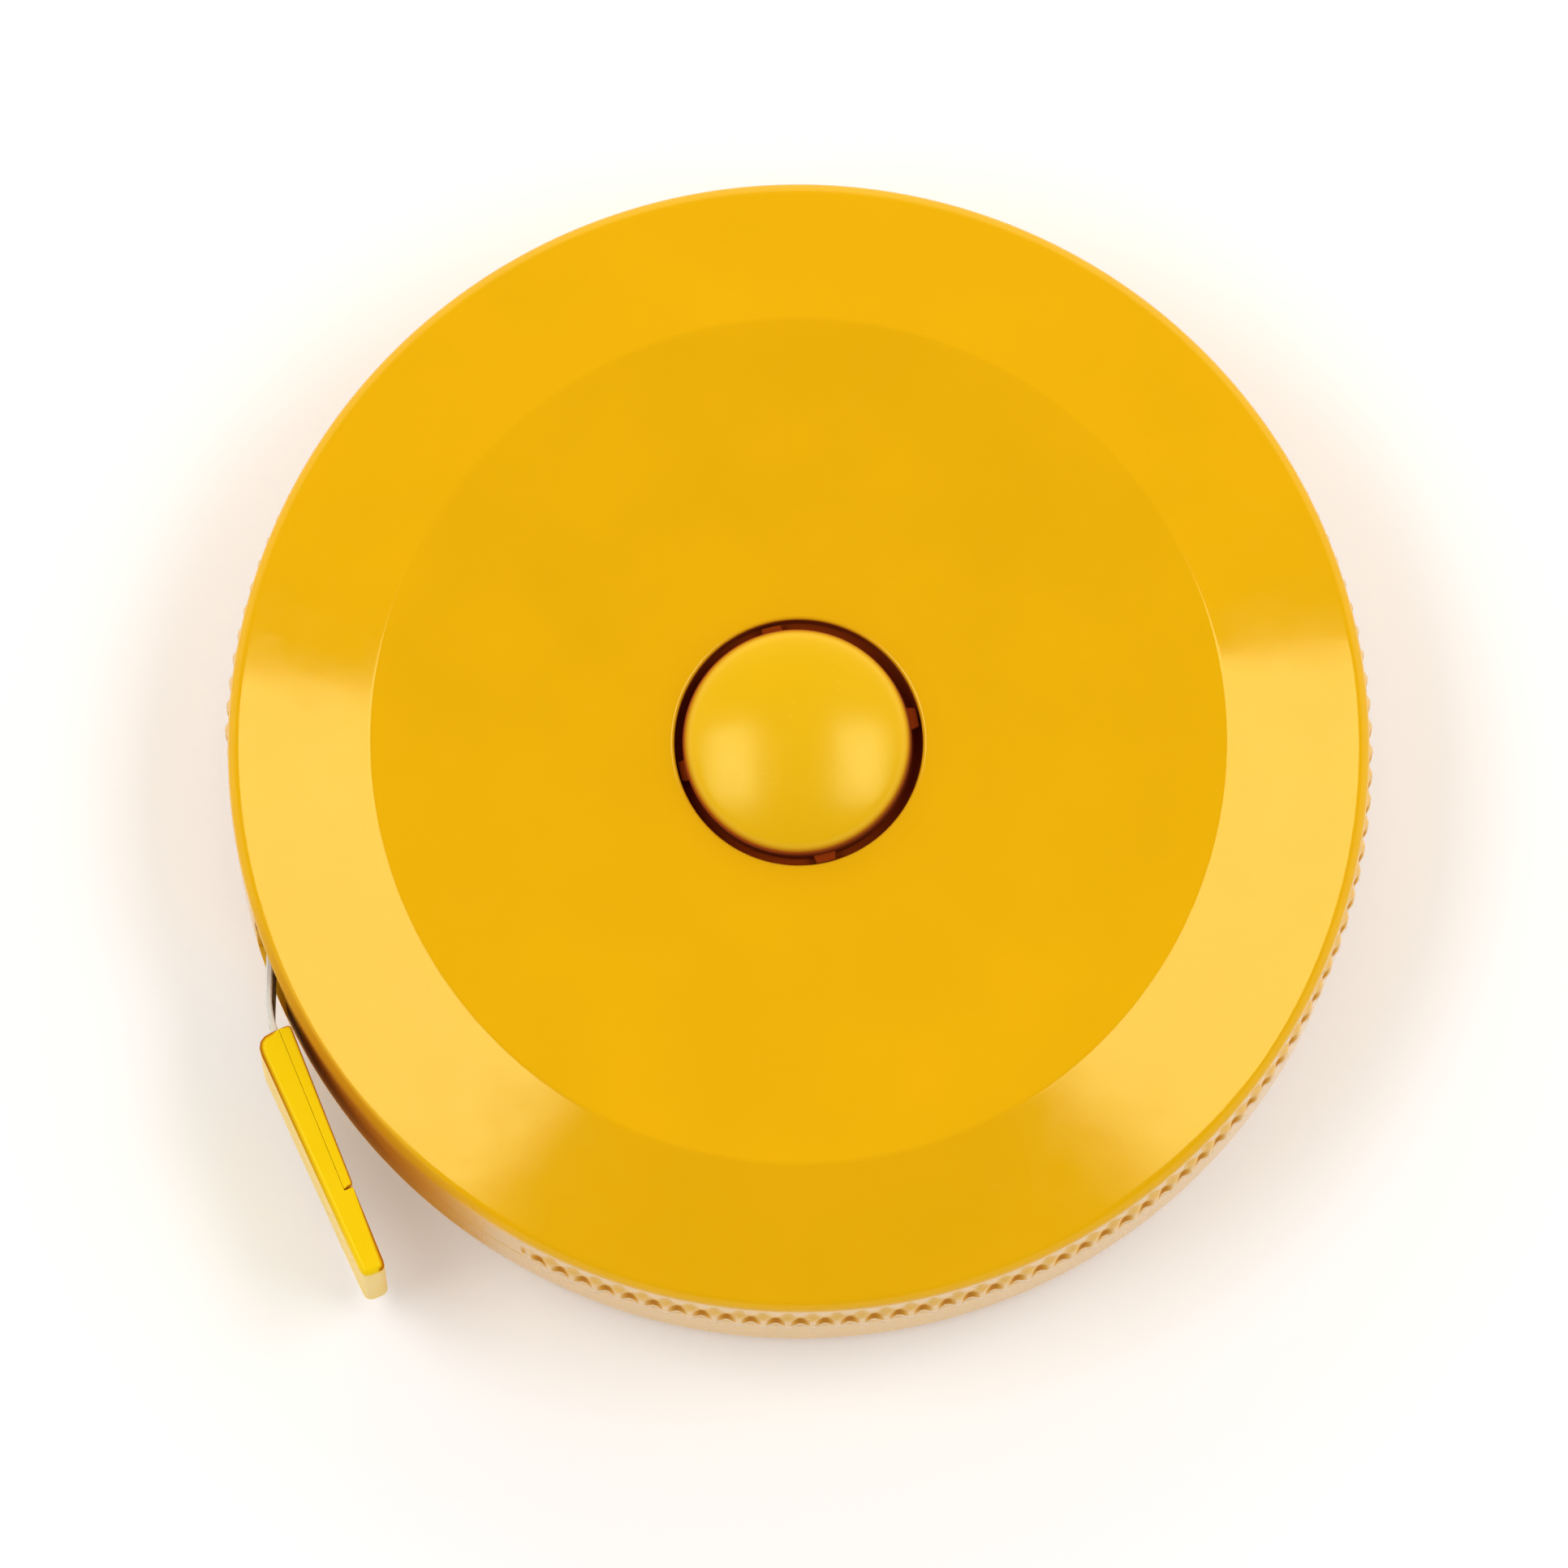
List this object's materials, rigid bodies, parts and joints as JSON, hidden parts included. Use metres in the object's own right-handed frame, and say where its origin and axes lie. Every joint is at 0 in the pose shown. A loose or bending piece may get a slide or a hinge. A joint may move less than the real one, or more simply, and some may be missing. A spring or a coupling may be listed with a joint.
{
  "type": "retractable tape measure",
  "caption": "Round pocket tape measure: knurled two-part plastic case, domed push button that frees the brake, and a tape on a sprung reel that pulls out of a slot in the rim by its end tab.",
  "frame": {"origin": "centre of the flat back face, on the axis of the reel and the button", "axes": "+Z out of the front through the button; the tape leaves the rim on the -X side towards -Y"},
  "size_m": [0.0498, 0.0498, 0.0132],
  "materials": {
    "case_plastic": "glossy yellow ABS",
    "reel_plastic": "natural moulded plastic",
    "tape_cloth": "coated woven tape with printed graduations",
    "spring_steel": "bright spring steel",
    "brake_rubber": "black rubber"
  },
  "bodies": {
    "case": {"front_shell": "case_plastic", "back_shell": "case_plastic", "thrust_washer": "reel_plastic"},
    "reel": {"reel_drum": "reel_plastic", "spring_cover": "reel_plastic", "brake_ring": "reel_plastic", "mainspring": "spring_steel", "tape_winding": "tape_cloth"},
    "button": {"push_button": "case_plastic", "brake_disc": "reel_plastic", "brake_pad": "brake_rubber", "button_spring": "spring_steel"},
    "tape_end": {"tape_lead": "tape_cloth", "end_tab": "case_plastic", "tab_clamp": "case_plastic"}
  },
  "joints": [
    {"name": "button_press", "type": "slide", "parent": "case", "child": "button", "axis": [0, 0, -1], "range_m": [0, 0.001], "stiffness_N_per_m": 400, "springref_m": -0.003, "deforming": ["button_spring"]},
    {"name": "tape_pull", "type": "slide", "parent": "case", "child": "tape_end", "axis": [0.3778, -0.9259, 0], "range_m": [0, 1.5], "deforming": ["tape_lead"]},
    {"name": "reel_spin", "type": "hinge", "parent": "case", "child": "reel", "pos_m": [0, 0, 0.00625], "axis": [0, 0, 1], "range_deg": [0, 4985], "deforming": ["mainspring"]}
  ],
  "couplings": [
    {"joint": "reel_spin", "follows": "tape_pull", "rad_per_m": 57.95}
  ]
}
